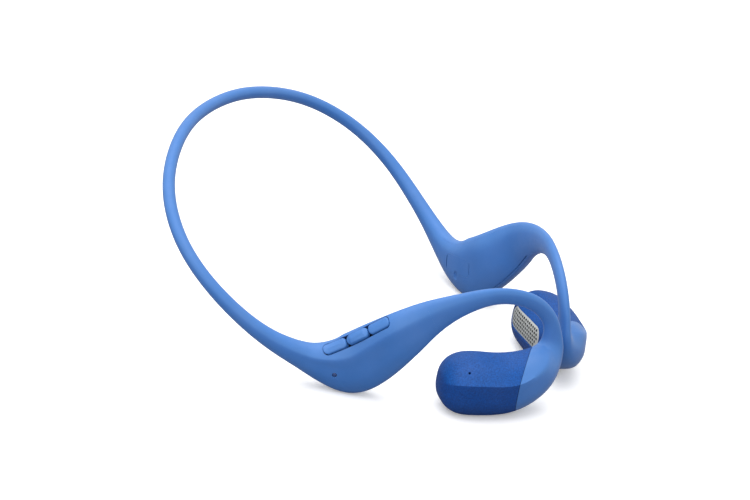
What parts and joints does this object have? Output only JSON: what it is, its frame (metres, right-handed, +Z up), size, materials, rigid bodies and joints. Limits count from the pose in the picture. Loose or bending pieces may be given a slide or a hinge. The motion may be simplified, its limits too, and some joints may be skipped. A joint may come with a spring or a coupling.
{
  "type": "bone conduction headphones",
  "caption": "Open-ear headphones: a springy neckband with a housing behind each ear, an over-ear hook and a speaker pod in front, press buttons and a hinged charging port cover.",
  "frame": {"origin": "centre of the bounding box in plan, on the table under both pods and both housings", "axes": "+Z up, the wearer faces -Y (the speaker pods are at -Y, the neckband at +Y) and the wearer's left is +X"},
  "size_m": [0.1324, 0.1432, 0.0558],
  "materials": {
    "button_blue": "satin soft-touch",
    "soft_blue": "matte silicone",
    "shell_blue": "matte soft-touch coat",
    "pod_navy": "matte with fine grain",
    "seal_rubber": "matte",
    "spring_metal": "drawn wire",
    "cable_sheath": "satin sheath",
    "circuit_board": "solder mask",
    "acoustic_mesh": "woven",
    "diaphragm_film": "film",
    "driver_plastic": "matte",
    "foam": "open foam",
    "cell_wrap": "foil pouch",
    "light_clear": "clear moulding",
    "grille_metal": "perforated sheet",
    "plated_metal": "plated"
  },
  "bodies": {
    "neckband": {"band_sleeve_rear": "soft_blue", "neckband_cable": "cable_sheath", "neckband_spring_wire": "spring_metal"},
    "left_arm": {"band_sleeve_left": "soft_blue", "battery_cell": "cell_wrap", "battery_foam": "foam", "charging_board": "circuit_board", "left_anchor_screw": "plated_metal", "left_hook_cable": "cable_sheath", "left_hook_sleeve_rear": "soft_blue", "left_hook_spring_wire": "spring_metal", "left_housing_inner": "shell_blue", "left_housing_outer": "shell_blue", "left_housing_seal": "seal_rubber", "left_wire_anchor": "plated_metal", "usb_c_receptacle": "plated_metal"},
    "port_cover": {"charging_port_cover": "soft_blue"},
    "left_pod": {"left_diaphragm": "diaphragm_film", "left_driver_frame": "driver_plastic", "left_driver_gasket": "seal_rubber", "left_driver_magnet": "plated_metal", "left_grille_mesh": "acoustic_mesh", "left_hook_sleeve_front": "soft_blue", "left_microphone": "plated_metal", "left_pod_base": "shell_blue", "left_pod_cap": "pod_navy", "left_speaker_grille": "grille_metal"},
    "right_arm": {"band_sleeve_right": "soft_blue", "button_board": "circuit_board", "button_membrane": "seal_rubber", "main_board": "circuit_board", "play_switch": "plated_metal", "radio_shield_can": "plated_metal", "right_anchor_screw": "plated_metal", "right_hook_cable": "cable_sheath", "right_hook_sleeve_rear": "soft_blue", "right_hook_spring_wire": "spring_metal", "right_housing_inner": "shell_blue", "right_housing_outer": "shell_blue", "right_housing_seal": "seal_rubber", "right_wire_anchor": "plated_metal", "status_light_pipe": "light_clear", "volume_down_switch": "plated_metal", "volume_up_switch": "plated_metal"},
    "volume_down": {"volume_down_button": "button_blue"},
    "play": {"play_button": "button_blue"},
    "volume_up": {"volume_up_button": "button_blue"},
    "right_pod": {"right_diaphragm": "diaphragm_film", "right_driver_frame": "driver_plastic", "right_driver_gasket": "seal_rubber", "right_driver_magnet": "plated_metal", "right_grille_mesh": "acoustic_mesh", "right_hook_sleeve_front": "soft_blue", "right_microphone": "plated_metal", "right_pod_base": "shell_blue", "right_pod_cap": "pod_navy", "right_speaker_grille": "grille_metal"}
  },
  "joints": [
    {"name": "left_arm_flex", "type": "hinge", "parent": "neckband", "child": "left_arm", "pos_m": [0.01787, 0.06785, 0.05332], "axis": [0, 0, 1], "range_deg": [-0.2, 24], "stiffness_Nm_per_rad": 0.12, "deforming": ["neckband_spring_wire", "neckband_cable"]},
    {"name": "left_hook_flex", "type": "hinge", "parent": "left_arm", "child": "left_pod", "pos_m": [0.02895, -0.04484, 0.03665], "axis": [-0.744, -0.6167, 0.2571], "range_deg": [-1, 12], "stiffness_Nm_per_rad": 0.01, "deforming": ["left_hook_spring_wire", "left_hook_cable"]},
    {"name": "right_arm_flex", "type": "hinge", "parent": "neckband", "child": "right_arm", "pos_m": [-0.01787, 0.06785, 0.05332], "axis": [0, 0, -1], "range_deg": [-0.2, 24], "stiffness_Nm_per_rad": 0.12, "deforming": ["neckband_spring_wire", "neckband_cable"]},
    {"name": "right_hook_flex", "type": "hinge", "parent": "right_arm", "child": "right_pod", "pos_m": [-0.02895, -0.04484, 0.03665], "axis": [-0.744, 0.6167, -0.2571], "range_deg": [-1, 12], "stiffness_Nm_per_rad": 0.01, "deforming": ["right_hook_spring_wire", "right_hook_cable"]},
    {"name": "port_cover_hinge", "type": "hinge", "parent": "left_arm", "child": "port_cover", "pos_m": [0.04036, -0.01693, 0.01137], "axis": [0.0901, 0.2041, 0.9748], "range_deg": [0, 110]},
    {"name": "volume_down_press", "type": "slide", "parent": "right_arm", "child": "volume_down", "axis": [0.8333, -0.2423, -0.4968], "range_m": [0, 0.0003]},
    {"name": "play_press", "type": "slide", "parent": "right_arm", "child": "play", "axis": [0.8333, -0.2423, -0.4968], "range_m": [0, 0.0003]},
    {"name": "volume_up_press", "type": "slide", "parent": "right_arm", "child": "volume_up", "axis": [0.8333, -0.2423, -0.4968], "range_m": [0, 0.0003]}
  ]
}
